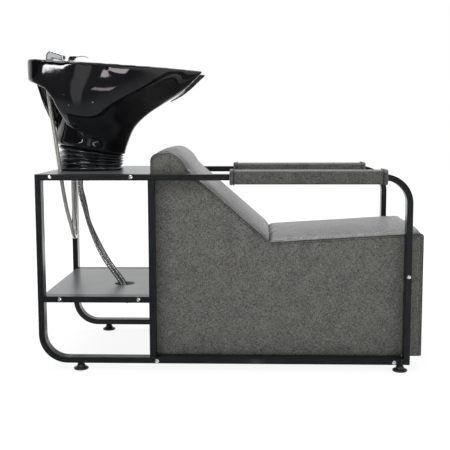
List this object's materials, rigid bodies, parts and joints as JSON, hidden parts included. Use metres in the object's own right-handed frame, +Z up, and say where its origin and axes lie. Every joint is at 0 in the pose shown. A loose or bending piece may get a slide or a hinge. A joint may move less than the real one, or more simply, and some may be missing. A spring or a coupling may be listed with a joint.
{
  "type": "hair washing bed",
  "caption": "Salon hair washing bed: a black tilting backwash basin with mixer tap and hand shower on a black steel tube frame with an upholstered reclining seat and padded arm rails.",
  "frame": {"origin": "on the floor, under the middle of the whole length and on the plane of symmetry of the two side frames", "axes": "+X from the basin towards the seat's front, +Y away from the side that the picture shows, +Z up"},
  "size_m": [1.3131, 0.611, 1.0614],
  "materials": {
    "powder_coat": "satin",
    "black_glaze": "gloss",
    "leatherette": "matte",
    "leatherette_side": "matte",
    "foam": "matte",
    "plywood": "matte",
    "grey_board": "matte",
    "black_plastic": "matte",
    "black_rubber": "satin",
    "zinc_steel": "satin",
    "chrome_steel": "polished",
    "brass_nut": "satin",
    "cream_hose": "satin",
    "braided_steel": "satin"
  },
  "bodies": {
    "frame": {"arm_cover_far": "leatherette", "arm_cover_near": "leatherette", "arm_foam": "foam", "back_board": "plywood", "back_cushion": "leatherette", "base_board": "grey_board", "bellows": "black_rubber", "bracket_bolts": "zinc_steel", "frame_lower_tube_far": "powder_coat", "frame_lower_tube_near": "powder_coat", "frame_screws": "chrome_steel", "frame_upper_tube_far": "powder_coat", "frame_upper_tube_near": "powder_coat", "front_board": "plywood", "front_cover": "leatherette_side", "hose_fittings": "zinc_steel", "middle_post_far": "powder_coat", "middle_post_near": "powder_coat", "mixer_tails": "braided_steel", "rear_board": "plywood", "rear_cover": "leatherette_side", "seat_board": "plywood", "seat_cushion": "leatherette", "shelf": "grey_board", "shelf_rail_far": "powder_coat", "shelf_rail_near": "powder_coat", "shower_hose": "cream_hose", "side_board_far": "plywood", "side_board_near": "plywood", "side_cover_far": "leatherette_side", "side_cover_near": "leatherette_side", "supply_hose_cold": "braided_steel", "supply_hose_hot": "braided_steel", "supply_nuts": "zinc_steel", "threaded_inserts": "black_plastic", "tilt_brackets": "zinc_steel", "tilt_pins": "zinc_steel", "top_plate": "grey_board"},
    "basin_unit": {"basin": "black_glaze", "basin_bowl": "black_glaze", "tilt_carrier": "zinc_steel", "carrier_bolts": "zinc_steel", "drain_flange": "chrome_steel", "drain_tail": "black_plastic", "mixer_body": "chrome_steel", "tap_nuts": "brass_nut", "handset_holder": "chrome_steel"},
    "tap_cap": {"mixer_cartridge": "chrome_steel"},
    "tap_lever": {"mixer_lever": "chrome_steel"},
    "hand_shower": {"handset": "chrome_steel", "handset_face": "black_plastic"},
    "strainer": {"hair_strainer": "chrome_steel"},
    "foot_rear_near": {"foot_pad_rear_near": "black_plastic", "foot_stud_rear_near": "zinc_steel"},
    "foot_front_near": {"foot_pad_front_near": "black_plastic", "foot_stud_front_near": "zinc_steel"},
    "foot_rear_far": {"foot_pad_rear_far": "black_plastic", "foot_stud_rear_far": "zinc_steel"},
    "foot_front_far": {"foot_pad_front_far": "black_plastic", "foot_stud_front_far": "zinc_steel"}
  },
  "joints": [
    {"name": "basin_tilt", "type": "hinge", "parent": "frame", "child": "basin_unit", "pos_m": [-0.4795, 0, 0.69], "axis": [0, 1, 0], "range_deg": [-12, 4], "deforming": ["bellows", "mixer_tails", "shower_hose"]},
    {"name": "mixer_turn", "type": "hinge", "parent": "basin_unit", "child": "tap_cap", "pos_m": [-0.56252, 0.092, 1.032], "axis": [0.0576, 0, 0.9983], "range_deg": [-45, 45]},
    {"name": "mixer_lift", "type": "hinge", "parent": "tap_cap", "child": "tap_lever", "pos_m": [-0.5711, 0.092, 1.04227], "axis": [0, -1, 0], "range_deg": [0, 25]},
    {"name": "handset_lift", "type": "slide", "parent": "basin_unit", "child": "hand_shower", "axis": [0.0576, 0, 0.9983], "range_m": [0, 0.06], "deforming": ["shower_hose"]},
    {"name": "strainer_lift", "type": "slide", "parent": "basin_unit", "child": "strainer", "axis": [0, 0, 1], "range_m": [0, 0.03]},
    {"name": "foot_screw_rear_near", "type": "slide", "parent": "frame", "child": "foot_rear_near", "axis": [0, 0, -1], "range_m": [0, 0.008]},
    {"name": "foot_screw_front_near", "type": "slide", "parent": "frame", "child": "foot_front_near", "axis": [0, 0, -1], "range_m": [0, 0.008]},
    {"name": "foot_screw_rear_far", "type": "slide", "parent": "frame", "child": "foot_rear_far", "axis": [0, 0, -1], "range_m": [0, 0.008]},
    {"name": "foot_screw_front_far", "type": "slide", "parent": "frame", "child": "foot_front_far", "axis": [0, 0, -1], "range_m": [0, 0.008]}
  ]
}
